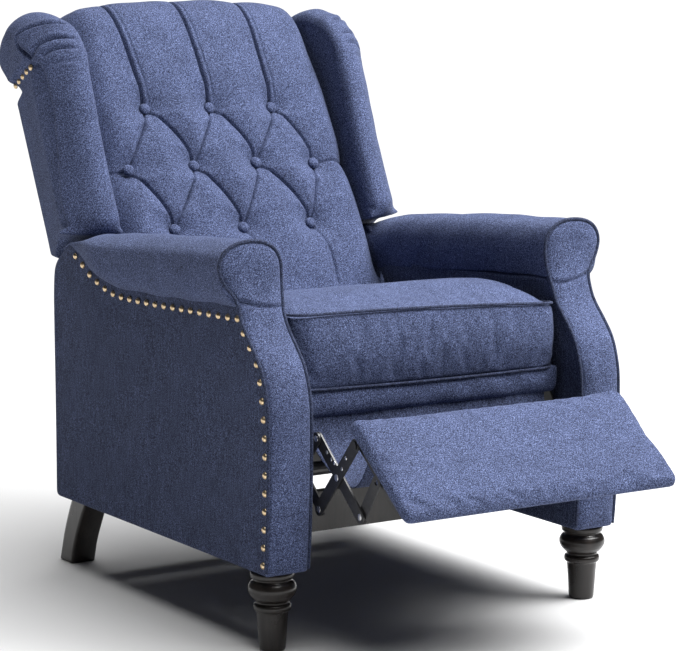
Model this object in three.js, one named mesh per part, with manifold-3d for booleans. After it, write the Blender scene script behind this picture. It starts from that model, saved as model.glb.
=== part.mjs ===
// Push-back recliner armchair with rolled arms, winged back, turned front legs and a scissor footrest.
// Units are millimetres, +Z up. The seat faces -Y. "left" and "right" are as seen from the front.
// Inside the chair group y = 0 is the plane of the arm fronts near the floor.
import * as THREE from 'three';
import { mergeVertices } from 'three/addons/utils/BufferGeometryUtils.js';
import Module from 'manifold-3d';

// ---- driving dimensions ----
const CENTRE_Y = 350.44; // middle of the whole chair's depth, which becomes y = 0
const GAP = 0.3; // air between pieces that touch

const ARM_INNER = 256;
const ARM_OUTER = 330;
const ARM_BOTTOM = 123;
const ARM_BACK = 703;
const ARM_TOP = 540; // top of the arm box at the front, where the roll begins
const ARM_SLOPE = THREE.MathUtils.degToRad(3.66); // the arm falls towards the back
const ROLL_FRONT = 83;
const FACING_DEPTH = 18;

const LEG_HEIGHT = ARM_BOTTOM - GAP;
const LEG_FRONT = { x: 297, y: 45 };

const SEAT_HALF = 249;
const SEAT_BOTTOM = 387.2;
const SEAT_REAR = 563;
const RAIL_WOOD = { inner: 215, outer: 244.7, bottom: 350, top: 386.8 };

const BACK_HALF = 249;
const BACK_PIVOT = [650, 330];
const BACK_LEAN = 0.448; // how far the rear face goes back for each millimetre up
const WING = { inner: 250.5, outer: 341, slant: 48 };

const PIVOT = [54.5, 270]; // common pivot of the two drive links, as [y, z]
const HALF_LINK = 76;
const UPPER_ANGLE = THREE.MathUtils.degToRad(48.7);
const LOWER_ANGLE = THREE.MathUtils.degToRad(41);
const PAD_TILT = THREE.MathUtils.degToRad(38);
const LINK_RADIUS = 10;
const PIN_RADIUS = 4;
const HOLE_RADIUS = 4.6;
const RIVET_RADIUS = 6.5;
// steel layers across the chair, [inner, outer] distances from the middle plane
const LAYER = {
  baseRail: [252.2, 255.6],
  sidePlate: [245, 248],
  upper: [241, 244],
  lower: [237.2, 240.2],
  brace: [233.4, 236.4],
  bracket: [229.6, 232.6],
};
const PAD = { half: 250, rear: -26, front: 167, bottom: 10.3, top: 30 };

// ---- finishes ----
const finish = (color, roughness, metalness = 0) =>
  new THREE.MeshStandardMaterial({ color, roughness, metalness });
const NAVY = finish(0x3d4a70, 0.92);
const NAVY_LIGHT = finish(0x56679a, 0.92);
const BLACK_WOOD = finish(0x1a1614, 0.35);
const PLAIN_WOOD = finish(0xb08d60, 0.7);
const BLACK_STEEL = finish(0x17171a, 0.4, 0.8);
const BRIGHT_STEEL = finish(0x9a9da2, 0.35, 0.9);

// ---- shape helpers ----
const wasm = await Module();
wasm.setup();

const SIDES = { left: -1, right: 1 };
const span = (side, [inner, outer]) => (side < 0 ? [-outer, -inner] : [inner, outer]);

// An outline from points and splines: a pair is a straight step, { through } a smooth one.
function outline(start, ...steps) {
  const shape = new THREE.Shape();
  shape.moveTo(...start);
  for (const step of steps) {
    if (step.through) shape.splineThru(step.through.map(([u, v]) => new THREE.Vector2(u, v)));
    else shape.lineTo(...step);
  }
  shape.closePath();
  return shape;
}

const extrude = (shape, depth, curveSegments) =>
  new THREE.ExtrudeGeometry(shape, { depth, bevelEnabled: false, curveSegments });

const AXES_X = new THREE.Matrix4().makeBasis(
  new THREE.Vector3(0, 1, 0),
  new THREE.Vector3(0, 0, 1),
  new THREE.Vector3(1, 0, 0),
);

// A side view, as (y, z), made solid across x.
function acrossX(shape, [low, high], curveSegments = 3) {
  return extrude(shape, high - low, curveSegments).applyMatrix4(AXES_X).translate(low, 0, 0);
}

// A front view, as (x, z), made solid along y.
function alongY(shape, [low, high], curveSegments = 3) {
  return extrude(shape, high - low, curveSegments).rotateX(Math.PI / 2).translate(0, high, 0);
}

function box([x0, x1], [y0, y1], [z0, z1]) {
  return new THREE.BoxGeometry(x1 - x0, y1 - y0, z1 - z0)
    .translate((x0 + x1) / 2, (y0 + y1) / 2, (z0 + z1) / 2);
}

function rodX([y, z], radius, [low, high], sides = 12) {
  return new THREE.CylinderGeometry(radius, radius, high - low, sides)
    .rotateZ(Math.PI / 2)
    .translate((low + high) / 2, y, z);
}

function toSolid(geometry) {
  const bare = geometry.clone();
  bare.deleteAttribute('normal');
  bare.deleteAttribute('uv');
  const merged = mergeVertices(bare, 1e-4);
  return new wasm.Manifold(new wasm.Mesh({
    numProp: 3,
    vertProperties: new Float32Array(merged.attributes.position.array),
    triVerts: new Uint32Array(merged.index.array),
  }));
}

function toGeometry(solid) {
  const mesh = solid.getMesh();
  const geometry = new THREE.BufferGeometry();
  geometry.setAttribute('position', new THREE.BufferAttribute(mesh.vertProperties, 3));
  geometry.setIndex(new THREE.BufferAttribute(mesh.triVerts, 1));
  geometry.computeVertexNormals();
  return geometry;
}

const join = (first, ...rest) =>
  toGeometry(rest.reduce((solid, geometry) => solid.add(toSolid(geometry)), toSolid(first)));
const common = (a, b) => toGeometry(toSolid(a).intersect(toSolid(b)));
const cut = (a, b) => toGeometry(toSolid(a).subtract(toSolid(b)));

// ---- assembly ----
const chair = new THREE.Group();
chair.position.y = -CENTRE_Y;

function part(name, geometry, material) {
  const mesh = new THREE.Mesh(geometry, material);
  mesh.name = name;
  chair.add(mesh);
}

function pair(name, make, material) {
  for (const [label, side] of Object.entries(SIDES)) part(`${name}_${label}`, make(side), material);
}

// ---- arms ----
// The arm's front, from the belly up and back under the roll, as [y, z].
const ARM_FRONT = [[0, 353], [2, 394], [12, 433], [32, 461], [50, 480], [64, 498], [75, 526],
  [82, 556], [84, 588]];

const slopeDrop = (y) => Math.tan(ARM_SLOPE) * (y - ROLL_FRONT);

// Everything ahead of the arm's front, or ahead of a plane of that shape further back.
function frontZone(back) {
  const curve = ARM_FRONT.map(([y, z]) => [y + back, z]);
  const shape = outline([-300, 100], [back, 100], [back, 353], { through: curve.slice(1) },
    [back + ROLL_FRONT, 700], [-300, 700]);
  return acrossX(shape, [-400, 400]);
}

// The padded roll's section, from its flat underside round the outside, as [x, z] above the arm box.
function rollOutline(side, base) {
  const at = ([x, z]) => [side * x, base + z];
  return [
    at([328, 0]),
    { through: [[346, 12], [357, 45], [343, 69], [304, 81], [266, 70], [251.5, 46], [253, 16]].map(at) },
    at([257, 0]),
  ];
}

function armBody(side) {
  const top = (y) => [y, ARM_TOP - slopeDrop(y)];
  const profile = outline([-10, ARM_BOTTOM], top(-10), top(ARM_BACK), [ARM_BACK, ARM_BOTTOM]);
  return cut(acrossX(profile, span(side, [ARM_INNER, ARM_OUTER])), frontZone(FACING_DEPTH + GAP));
}

function armRoll(side) {
  const section = outline([side * 257, 0], ...rollOutline(side, 0));
  const roll = alongY(section, [0, 650]).rotateX(-ARM_SLOPE).translate(0, ROLL_FRONT, ARM_TOP + GAP);
  const window = outline([0, 500], [0, 700], [570, 700], [612, 583], [666, 574], [ARM_BACK, 527],
    [ARM_BACK, 480]);
  return cut(common(roll, acrossX(window, [-400, 400])), frontZone(FACING_DEPTH + GAP));
}

function armFacing(side) {
  const front = outline([side * ARM_INNER, ARM_BOTTOM], [side * ARM_OUTER, ARM_BOTTOM],
    [side * ARM_OUTER, ARM_TOP - 12], ...rollOutline(side, ARM_TOP), [side * ARM_INNER, ARM_TOP - 12]);
  return cut(common(alongY(front, [-10, 140]), frontZone(FACING_DEPTH)), frontZone(0));
}

pair('arm_body', armBody, NAVY);
pair('arm_roll', armRoll, NAVY);
pair('arm_facing', armFacing, NAVY_LIGHT);

// ---- legs and base rails ----
function turnedLeg(side) {
  const profile = [[0, 0], [20.5, 0], [24.5, 60], [29, 64], [29, 71], [26, 76], [34, 84], [37.5, 96],
    [34, 108], [30, 112], [34, 115], [34, LEG_HEIGHT], [0, LEG_HEIGHT]];
  return new THREE.LatheGeometry(profile.map(([r, h]) => new THREE.Vector2(r, h)), 20)
    .rotateX(Math.PI / 2)
    .translate(side * LEG_FRONT.x, LEG_FRONT.y, 0);
}

function rakedLeg(side) {
  const profile = outline([706, 0], [752, 0], { through: [[736, 50], [718, 90], [700, LEG_HEIGHT]] },
    [646, LEG_HEIGHT], { through: [[672, 80], [693, 40], [706, 0]] });
  return acrossX(profile, span(side, [260, 306]), 2);
}

pair('leg_front', turnedLeg, BLACK_WOOD);
pair('leg_rear', rakedLeg, BLACK_WOOD);

const BETWEEN_ARMS = [-ARM_INNER + GAP, ARM_INNER - GAP];
part('cross_rail_front', box(BETWEEN_ARMS, [234, 254], [ARM_BOTTOM, 188]), BLACK_WOOD);
part('cross_rail_rear', box(BETWEEN_ARMS, [640, 660], [ARM_BOTTOM, 188]), BLACK_WOOD);
pair('base_rail', (side) => box(span(side, LAYER.baseRail), [130, 610], [262, 290]), BLACK_STEEL);

// ---- seat ----
function seatCushion() {
  const profile = outline([60, SEAT_BOTTOM], { through: [[50, 400], [46, 445], [54, 486], [82, 506],
    [150, 518], [250, 514], [400, 496], [500, 481], [548, 474]] },
  { through: [[560, 466], [SEAT_REAR, 450]] }, [SEAT_REAR, SEAT_BOTTOM]);
  return acrossX(profile, [-SEAT_HALF, SEAT_HALF], 2);
}

part('seat_cushion', seatCushion(), NAVY_LIGHT);
part('seat_apron', box([-228, 228], [50, 59.7], [345, SEAT_BOTTOM - GAP]), NAVY);

const RAIL_HEIGHT = [RAIL_WOOD.bottom, RAIL_WOOD.top];
const BETWEEN_RAILS = [-RAIL_WOOD.inner + GAP, RAIL_WOOD.inner - GAP];
part('seat_rail_front', box(BETWEEN_RAILS, [60, 84], RAIL_HEIGHT), PLAIN_WOOD);
part('seat_rail_rear', box(BETWEEN_RAILS, [536, SEAT_REAR - 3], RAIL_HEIGHT), PLAIN_WOOD);
pair('seat_rail', (side) => box(span(side, [RAIL_WOOD.inner, RAIL_WOOD.outer]),
  [60, SEAT_REAR - 3], RAIL_HEIGHT), PLAIN_WOOD);

// A sinuous wire that waves from side to side as it runs from the front rail to the rear one.
class SinuousWire extends THREE.Curve {
  constructor(x, front, rear, z, waves, swing) {
    super();
    Object.assign(this, { x, front, rear, z, waves, swing });
  }

  getPoint(t) {
    const across = this.x + this.swing * Math.sin(2 * Math.PI * this.waves * t);
    return new THREE.Vector3(across, THREE.MathUtils.lerp(this.front, this.rear, t), this.z);
  }
}

[-150, -50, 50, 150].forEach((x, index) => {
  const wire = new THREE.Shape().absarc(0, 0, 1.9, 0, 2 * Math.PI);
  const path = new SinuousWire(x, 87, 533, 374, 8, 22);
  const options = { extrudePath: path, steps: 48, curveSegments: 3, bevelEnabled: false };
  part(`seat_spring_${index + 1}`, new THREE.ExtrudeGeometry(wire, options), BRIGHT_STEEL);
});

// ---- footrest linkage ----
const reach = ([y, z], angle, length) =>
  [y - length * Math.cos(angle), z + length * Math.sin(angle)];
const JOINT = {};
JOINT.top = reach(PIVOT, UPPER_ANGLE, HALF_LINK);
JOINT.bottom = reach(PIVOT, -LOWER_ANGLE, HALF_LINK);
JOINT.cross = reach(JOINT.top, -LOWER_ANGLE, HALF_LINK);
JOINT.low = reach(JOINT.top, -LOWER_ANGLE, 2 * HALF_LINK);
JOINT.high = reach(JOINT.bottom, UPPER_ANGLE, 2 * HALF_LINK);

// A point of the footrest, s along it from the hinge to the toe end and t square to it.
function onPad([s, t]) {
  const [y, z] = reach(JOINT.high, -PAD_TILT, s);
  return [y - t * Math.sin(PAD_TILT), z + t * Math.cos(PAD_TILT)];
}
JOINT.brace = onPad([66, -10]);

function barOutline(from, to, radius) {
  const angle = Math.atan2(to[1] - from[1], to[0] - from[0]);
  const shape = new THREE.Shape();
  shape.absarc(to[0], to[1], radius, angle - Math.PI / 2, angle + Math.PI / 2);
  shape.absarc(from[0], from[1], radius, angle + Math.PI / 2, angle + 1.5 * Math.PI);
  return shape;
}

// A flat steel bar with round ends and a hole at each of the given centres.
function bar(side, layer, from, to, holes) {
  const shape = barOutline(from, to, LINK_RADIUS);
  for (const centre of holes) {
    shape.holes.push(new THREE.Path().absarc(...centre, HOLE_RADIUS, 0, 2 * Math.PI));
  }
  return acrossX(shape, span(side, layer), 6);
}

// A riveted pin through the layers from one distance to another, with a head past its far end.
function pin(side, centre, from, to) {
  const head = to < from ? [to, to + HEAD] : [to - HEAD, to];
  const shank = [Math.min(from, to), Math.max(from, to)];
  return [rodX(centre, PIN_RADIUS, span(side, shank)), rodX(centre, RIVET_RADIUS, span(side, head))];
}

const [UPPER_IN] = LAYER.upper;
const [BRACE_IN] = LAYER.brace;
const HEAD = 2.4;
const HEAD_IN = LAYER.lower[0] - 0.5 - HEAD; // far side of a rivet head inside the lower layer
const PIN_FLUSH = [LAYER.lower[0] + 0.2, LAYER.lower[1] + 0.4]; // ends of a pin with no head

function upperLink(side) {
  return join(
    bar(side, LAYER.upper, PIVOT, JOINT.top, []),
    rodX(PIVOT, PIN_RADIUS, span(side, [229, 251])),
    ...pin(side, JOINT.top, UPPER_IN + 1, HEAD_IN),
  );
}

function lowerLink(side) {
  return bar(side, LAYER.lower, PIVOT, JOINT.bottom, [PIVOT, JOINT.bottom]);
}

function frontLink(side) {
  return bar(side, LAYER.lower, JOINT.top, JOINT.low, [JOINT.top, JOINT.cross, JOINT.low]);
}

function rearLink(side) {
  return join(
    bar(side, LAYER.upper, JOINT.bottom, JOINT.high, [JOINT.high]),
    ...pin(side, JOINT.bottom, UPPER_IN + 1, HEAD_IN),
    rodX(JOINT.cross, PIN_RADIUS, span(side, [PIN_FLUSH[0], UPPER_IN + 1])),
  );
}

// The brace's far end stays free, a little inside the bracket that it steadies.
function braceLink(side) {
  return join(
    bar(side, LAYER.brace, JOINT.low, JOINT.brace, [JOINT.brace]),
    rodX(JOINT.low, PIN_RADIUS, span(side, [BRACE_IN + 1, PIN_FLUSH[1]])),
  );
}

function footrestBracket(side) {
  return join(
    bar(side, LAYER.bracket, onPad([0, 0]), onPad([120, 0]), []),
    rodX(JOINT.high, PIN_RADIUS, span(side, [230, 245.4])),
    rodX(JOINT.high, RIVET_RADIUS, span(side, [244.6, 246.4])),
  );
}

pair('link_upper', upperLink, BLACK_STEEL);
pair('link_lower', lowerLink, BLACK_STEEL);
pair('link_front', frontLink, BLACK_STEEL);
pair('link_rear', rearLink, BLACK_STEEL);
pair('link_brace', braceLink, BLACK_STEEL);
pair('footrest_bracket', footrestBracket, BLACK_STEEL);

function torqueTube() {
  const ring = new THREE.Shape().absarc(...PIVOT, 11, 0, 2 * Math.PI);
  ring.holes.push(new THREE.Path().absarc(...PIVOT, 9, 0, 2 * Math.PI));
  return acrossX(ring, [-228.6, 228.6], 8);
}
part('torque_tube', torqueTube(), BLACK_STEEL);

function footrestPad() {
  const { rear, front, bottom, top } = PAD;
  const corners = outline(onPad([rear + 6, bottom]), onPad([front - 5, bottom]),
    { through: [[front, bottom + 7], [front, top - 7], [front - 8, top]].map(onPad) },
    { through: [[90, top + 3], [40, top + 3], [rear + 8, top]].map(onPad) },
    { through: [[rear, top - 8], [rear, bottom + 6], [rear + 6, bottom]].map(onPad) });
  return acrossX(corners, [-PAD.half, PAD.half], 2);
}

function footrestBoard() {
  const low = 1;
  const high = PAD.bottom - GAP;
  const profile = outline(onPad([-14, low]), onPad([150, low]), onPad([150, high]), onPad([-14, high]));
  return acrossX(profile, [-225, 225]);
}

part('footrest_pad', footrestPad(), NAVY_LIGHT);
part('footrest_board', footrestBoard(), PLAIN_WOOD);

// The cloth sling that closes the gap between seat and footrest hangs in a U below both.
function footrestSling() {
  const hang = [[48, 312], [26, 295], [-22, 271], [-53, 263], [-77, 264], [-96, 282], [-104, 300]];
  const path = new THREE.SplineCurve(hang.map(([y, z]) => new THREE.Vector2(y, z)));
  const cloth = 1.2;
  const edge = (offset) => path.getPoints(18).map((point, index, all) => {
    const next = all[Math.min(index + 1, all.length - 1)];
    const last = all[Math.max(index - 1, 0)];
    const along = new THREE.Vector2().subVectors(next, last).normalize();
    return [point.x - offset * along.y, point.y + offset * along.x];
  });
  const [first, ...rest] = [...edge(-cloth), ...edge(cloth).reverse()];
  return acrossX(outline(first, ...rest), [-225, 225]);
}
part('footrest_sling', footrestSling(), NAVY);

// ---- side plates, which carry the linkage and the back ----
function sidePlate(side) {
  const profile = outline([40, 300], { through: [[36, 262], [55, 252], [78, 262], [110, 300]] },
    [560, 300], { through: [[640, 312], [662, 322], [664, 338], [648, 348]] },
    [560, 352], [540, 380], [90, 380]);
  for (const centre of [PIVOT, BACK_PIVOT]) {
    profile.holes.push(new THREE.Path().absarc(...centre, HOLE_RADIUS, 0, 2 * Math.PI));
  }
  return acrossX(profile, span(side, LAYER.sidePlate), 4);
}
pair('side_plate', sidePlate, BLACK_STEEL);

// ---- back ----
const rearFace = (z, inside = 0) => [763 + BACK_LEAN * (z - 526) - inside, z];

function backCushion() {
  const profile = outline([600, 420], [589, 494], [546, 507],
    { through: [[572, 560], [598, 604], [651, 692], [706, 789], [752, 870], [788, 926], [818, 956],
      [850, 966], [888, 956], [912, 928], [910, 902]] },
    rearFace(892, 47), rearFace(440, 47), [676, 420]);
  return acrossX(profile, [-BACK_HALF, BACK_HALF], 2);
}

const POST = { inner: 196, outer: 240.6, front: 46.5, back: 10 };
function backPost(side) {
  const profile = outline(rearFace(366, POST.front - 8), rearFace(880, POST.front),
    rearFace(880, POST.back), rearFace(366, POST.back));
  return acrossX(profile, span(side, [POST.inner, POST.outer]));
}

function backRail(low, high) {
  const profile = outline(rearFace(low, POST.front), rearFace(high, POST.front),
    rearFace(high, POST.back), rearFace(low, POST.back));
  return acrossX(profile, [-POST.inner + GAP, POST.inner - GAP]);
}

function backCover() {
  const profile = outline(rearFace(366, 8), rearFace(884, 8), rearFace(884, 0), rearFace(366, 0));
  return acrossX(profile, [-BACK_HALF, BACK_HALF]);
}

function backBracket(side) {
  const profile = outline([632, 330], { through: [[638, 316], [650, 312], [664, 318], [670, 340]] },
    rearFace(420, 16), rearFace(560, 16), rearFace(560, 38), rearFace(420, 36));
  return join(
    acrossX(profile, span(side, LAYER.upper), 4),
    rodX(BACK_PIVOT, PIN_RADIUS, span(side, [242, 250.4])),
    rodX(BACK_PIVOT, RIVET_RADIUS, span(side, [248.6, 251.2])),
  );
}

// The wing's front leans outwards: its outer edge lies further back than its inner edge.
function wing(side) {
  const profile = outline([589, 594],
    { through: [[601, 623], [631, 697], [658, 763], [682, 830], [709, 888], [753, 930], [806, 945],
      [860, 946], [908, 932], [940, 906], [950, 878], [936, 858]] },
    rearFace(846), rearFace(526), [724, 526], [722, 542], [674, 590], [630, 597]);
  const geometry = acrossX(profile, span(side, [WING.inner, WING.outer]), 2);
  const position = geometry.attributes.position;
  for (let i = 0; i < position.count; i += 1) {
    const outward = (Math.abs(position.getX(i)) - WING.inner) / (WING.outer - WING.inner);
    const toRear = rearFace(position.getZ(i))[0] - position.getY(i);
    const frontness = THREE.MathUtils.clamp((toRear - 40) / 120, 0, 1);
    position.setY(i, position.getY(i) + WING.slant * outward * frontness);
  }
  return geometry;
}

part('back_cushion', backCushion(), NAVY_LIGHT);
pair('back_post', backPost, PLAIN_WOOD);
part('back_rail_top', backRail(820, 880), PLAIN_WOOD);
part('back_rail_bottom', backRail(440, 500), PLAIN_WOOD);
part('back_cover', backCover(), NAVY);
pair('back_bracket', backBracket, BLACK_STEEL);
pair('wing', wing, NAVY_LIGHT);

const group = new THREE.Group();
group.add(chair);

export default group;
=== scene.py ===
import math

import bmesh
import bpy
import numpy as np
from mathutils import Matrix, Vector
from mathutils.geometry import delaunay_2d_cdt


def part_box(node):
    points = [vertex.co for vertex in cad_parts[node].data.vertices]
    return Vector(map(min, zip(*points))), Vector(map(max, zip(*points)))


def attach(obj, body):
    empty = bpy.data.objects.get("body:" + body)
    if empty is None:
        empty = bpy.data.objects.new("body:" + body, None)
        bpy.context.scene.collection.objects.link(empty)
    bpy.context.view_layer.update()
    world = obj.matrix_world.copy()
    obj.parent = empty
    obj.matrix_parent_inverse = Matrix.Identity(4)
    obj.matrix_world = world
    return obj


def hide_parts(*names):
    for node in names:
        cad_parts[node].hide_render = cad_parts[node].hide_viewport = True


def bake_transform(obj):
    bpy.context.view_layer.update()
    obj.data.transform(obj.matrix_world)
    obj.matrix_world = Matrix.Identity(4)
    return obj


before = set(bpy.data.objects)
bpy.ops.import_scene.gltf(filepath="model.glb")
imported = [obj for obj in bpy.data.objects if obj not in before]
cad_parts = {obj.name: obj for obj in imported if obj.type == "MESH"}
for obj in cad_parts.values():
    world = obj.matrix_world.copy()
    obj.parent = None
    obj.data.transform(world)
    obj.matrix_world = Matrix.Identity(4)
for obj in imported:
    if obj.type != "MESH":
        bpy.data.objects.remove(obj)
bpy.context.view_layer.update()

MM = 0.001
FRONT_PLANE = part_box("arm_facing_left")[0].y
SIDES = {"left": -1, "right": 1}


def at(points):
    """Millimetres from the plane of the arm fronts, as metres in the row frame."""
    return np.asarray(points, float) * MM + (0, FRONT_PLANE, 0)


def in_mm(node):
    """Lowest and highest corner of a CAD node, in millimetres from the plane of the arm fronts."""
    low, high = (np.array(corner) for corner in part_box(node))
    return (low - (0, FRONT_PLANE, 0)) / MM, (high - (0, FRONT_PLANE, 0)) / MM


def new_object(name, data):
    made = bpy.data.objects.new(name, data)
    bpy.context.collection.objects.link(made)
    return made


# ---- camera, at the angle of the photograph ----
CAMERA_PLACE = (-2.24386, -3.54377, 1.04387)
CAMERA_YAW = math.radians(32.6625)
CAMERA_PITCH = math.radians(-8.3305)
CAMERA_LENS = 135.22
CAMERA_SHIFT = (-0.0063, 0.0074)


def add_camera():
    data = bpy.data.cameras.new("camera")
    data.sensor_width = 36
    data.lens = CAMERA_LENS
    data.shift_x, data.shift_y = CAMERA_SHIFT
    data.clip_end = 200
    camera = new_object("camera", data)
    camera.location = CAMERA_PLACE
    camera.rotation_euler = (math.pi / 2 + CAMERA_PITCH, 0, -CAMERA_YAW)
    bpy.context.scene.camera = camera


add_camera()


# ---- node materials ----
def new_material(name):
    """A material, its node tree, its shader and the place of each surface point in its object."""
    material = bpy.data.materials.new(name)
    material.use_nodes = True
    tree = material.node_tree
    place = node(tree, "ShaderNodeTexCoord", {}).outputs["Object"]
    return material, tree, tree.nodes["Principled BSDF"], place


def fill_in(tree, made, inputs):
    """Sets a node's inputs: another node's output is linked, anything else is set on the socket."""
    for key, value in inputs.items():
        if isinstance(value, bpy.types.NodeSocket):
            tree.links.new(value, made.inputs[key])
        else:
            made.inputs[key].default_value = value
    return made


def node(tree, kind, inputs, **settings):
    made = tree.nodes.new(kind)
    for key, value in settings.items():
        setattr(made, key, value)
    return fill_in(tree, made, inputs)


def noise(tree, place, scale, detail=2.0, roughness=0.5, distortion=0.0):
    return node(tree, "ShaderNodeTexNoise", {
        "Vector": place, "Scale": scale, "Detail": detail, "Roughness": roughness,
        "Distortion": distortion}).outputs["Fac"]


def stretched(tree, place, scale):
    return node(tree, "ShaderNodeMapping", {"Vector": place, "Scale": scale}).outputs["Vector"]


def spread(tree, value, low, high, to_low, to_high):
    return node(tree, "ShaderNodeMapRange", {
        "Value": value, "From Min": low, "From Max": high, "To Min": to_low, "To Max": to_high,
    }).outputs["Result"]


def ramp(tree, value, stops):
    made = node(tree, "ShaderNodeValToRGB", {"Fac": value})
    elements = made.color_ramp.elements
    for _ in range(len(stops) - 2):
        elements.new(0.5)
    for element, (position, colour) in zip(elements, stops):
        element.position = position
        element.color = (*colour, 1)
    return made.outputs["Color"]


def added(tree, base, extra, share):
    """base + share * extra"""
    made = node(tree, "ShaderNodeMath", {0: extra, 1: share, 2: base}, operation="MULTIPLY_ADD")
    return made.outputs[0]


def shaded(tree, colour, value):
    """A colour times a value."""
    grey = node(tree, "ShaderNodeCombineColor", {"Red": value, "Green": value, "Blue": value}).outputs[0]
    return node(tree, "ShaderNodeMix", {0: 1.0, 6: colour, 7: grey}, data_type="RGBA",
                blend_type="MULTIPLY").outputs[2]


def bump(tree, shader, *layers):
    """Bump from (height, strength, distance in metres) layers, each on top of the one before."""
    normal = None
    for height, strength, distance in layers:
        inputs = {"Height": height, "Strength": strength, "Distance": distance}
        if normal is not None:
            inputs["Normal"] = normal
        normal = node(tree, "ShaderNodeBump", inputs).outputs["Normal"]
    tree.links.new(normal, shader.inputs["Normal"])


FABRIC_DARK = (0.006, 0.008, 0.019)
FABRIC_MIDDLE = (0.038, 0.050, 0.110)
FABRIC_LIGHT = (0.180, 0.224, 0.400)


def fabric_material(name, streaking=0.0, depth=1.0):
    """Heathered navy cloth: dark and light yarns at about a millimetre, soft mottling and sheen."""
    material, tree, shader, place = new_material(name)
    grain = noise(tree, place, 860, roughness=0.7)
    clumps = noise(tree, place, 460, detail=1.0, roughness=0.6)
    streaks = noise(tree, stretched(tree, place, (1, 1, 0.12)), 300, detail=1.0)
    mottle = noise(tree, place, 22, detail=5.0, roughness=0.65)
    heather = added(tree, added(tree, grain, clumps, 0.35), streaks, streaking)
    middle = 0.675 + 0.5 * streaking  # the mean of heather, since each noise has a mean of 0.5
    shade = spread(tree, heather, middle - 0.21, middle + 0.21, 0.0, 1.0)
    colour = ramp(tree, shade, [(0.10, FABRIC_DARK), (0.50, FABRIC_MIDDLE), (0.90, FABRIC_LIGHT)])
    fill_in(tree, shader, {
        # depth below 1 scales the whole colour down: painted shade, for the darker copies of this cloth
        "Base Color": shaded(tree, colour, spread(tree, mottle, 0.3, 0.7, 0.84 * depth, 1.14 * depth)),
        "Roughness": spread(tree, grain, 0.3, 0.7, 0.82, 0.98),
        "Specular IOR Level": 0.18,
        "Sheen Weight": 0.08,
        "Sheen Roughness": 0.45,
        "Sheen Tint": (0.62, 0.70, 0.95, 1),
    })
    weft = node(tree, "ShaderNodeTexWave", {
        "Vector": place, "Scale": 330.0, "Distortion": 1.6, "Detail": 1.0, "Detail Scale": 3.0,
    }, bands_direction="DIAGONAL").outputs["Fac"]
    bump(tree, shader, (mottle, 0.12, 0.004), (clumps, 0.35, 0.0008), (grain, 0.6, 0.0006),
         (weft, 0.25, 0.0003))
    return material


def wood_material(name, dark, light, roughness, coat=0.0):
    """Wood with grain running up its Z axis, bare or under a dark lacquer."""
    material, tree, shader, place = new_material(name)
    grain = noise(tree, stretched(tree, place, (1, 1, 0.08)), 60, detail=6.0, roughness=0.62,
                  distortion=0.6)
    fine = noise(tree, stretched(tree, place, (1, 1, 0.03)), 360, detail=3.0)
    smudge = noise(tree, place, 18, detail=3.0)
    colour = ramp(tree, grain, [(0.32, dark), (0.68, light)])
    fill_in(tree, shader, {
        "Base Color": shaded(tree, colour, spread(tree, fine, 0.3, 0.7, 0.8, 1.1)),
        "Roughness": spread(tree, smudge, 0.3, 0.7, roughness * 0.8, roughness * 1.3),
        "Specular IOR Level": 0.28,
        "Coat Weight": coat,
        "Coat Roughness": 0.18,
    })
    bump(tree, shader, (grain, 0.12, 0.001), (fine, 0.15, 0.0004))
    return material


def metal_material(name, dark, light, roughness, metallic=1.0, speckle=140, relief=0.1):
    """Metal or painted metal with uneven tone, fine scratches and smudged gloss."""
    material, tree, shader, place = new_material(name)
    blotch = noise(tree, place, speckle, detail=5.0, roughness=0.65)
    scratch = noise(tree, stretched(tree, place, (0.1, 1, 1)), 900)
    smudge = noise(tree, place, 35, detail=3.0)
    fill_in(tree, shader, {
        "Base Color": ramp(tree, blotch, [(0.3, dark), (0.7, light)]),
        "Roughness": spread(tree, smudge, 0.3, 0.7, roughness * 0.75, roughness * 1.35),
        "Metallic": metallic,
    })
    bump(tree, shader, (blotch, relief, 0.0006), (scratch, 0.08, 0.0002))
    return material


CLOTH = fabric_material("navy_heather_fabric")
# A darker copy of the same cloth, as painted shade: for the arm sides, the rear panel and the sling, which
# get little light
SHADE_DARKENED_CLOTH = fabric_material("navy_heather_painted_shade", streaking=0.16, depth=0.66)
# The piping's cloth, darker still: painted shade along the cords
SHADE_DARKENED_CORD = fabric_material("navy_piping_painted_shade", depth=0.50)
BLACK_WOOD = wood_material("black_lacquered_wood", (0.006, 0.005, 0.005), (0.020, 0.015, 0.013), 0.30,
                           coat=0.35)
# Near-black frame wood for the seat rails and the footrest board: painted shade, for the dark under the seat
SHADE_DARK_FRAME_WOOD = wood_material("frame_wood_painted_shade", (0.016, 0.013, 0.012), (0.040, 0.032, 0.028), 0.6)
PLAIN_WOOD = wood_material("plain_frame_wood", (0.34, 0.21, 0.10), (0.60, 0.42, 0.24), 0.62)
BLACK_STEEL = metal_material("black_painted_steel", (0.008, 0.008, 0.009), (0.026, 0.026, 0.029), 0.36,
                             metallic=0.0, relief=0.2)
SPRING_STEEL = metal_material("spring_steel", (0.25, 0.25, 0.26), (0.45, 0.45, 0.47), 0.36)
ZINC = metal_material("bright_zinc", (0.55, 0.55, 0.56), (0.80, 0.80, 0.82), 0.26, relief=0.05)
BRASS = metal_material("antique_brass", (0.42, 0.29, 0.16), (0.86, 0.70, 0.46), 0.28, speckle=380,
                       relief=0.35)


# ---- curves and outlines ----
def unit(vectors):
    """The same directions, each of length 1."""
    return vectors / np.linalg.norm(vectors, axis=-1, keepdims=True)


def square_to(directions):
    """Unit vectors a quarter turn to the left of directions in a plane."""
    return unit(np.stack([-directions[:, 1], directions[:, 0]], 1))


def length_so_far(line):
    """Distance along a line at each of its points."""
    return np.concatenate([[0], np.cumsum(np.linalg.norm(np.diff(line, axis=0), axis=1))])


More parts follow.
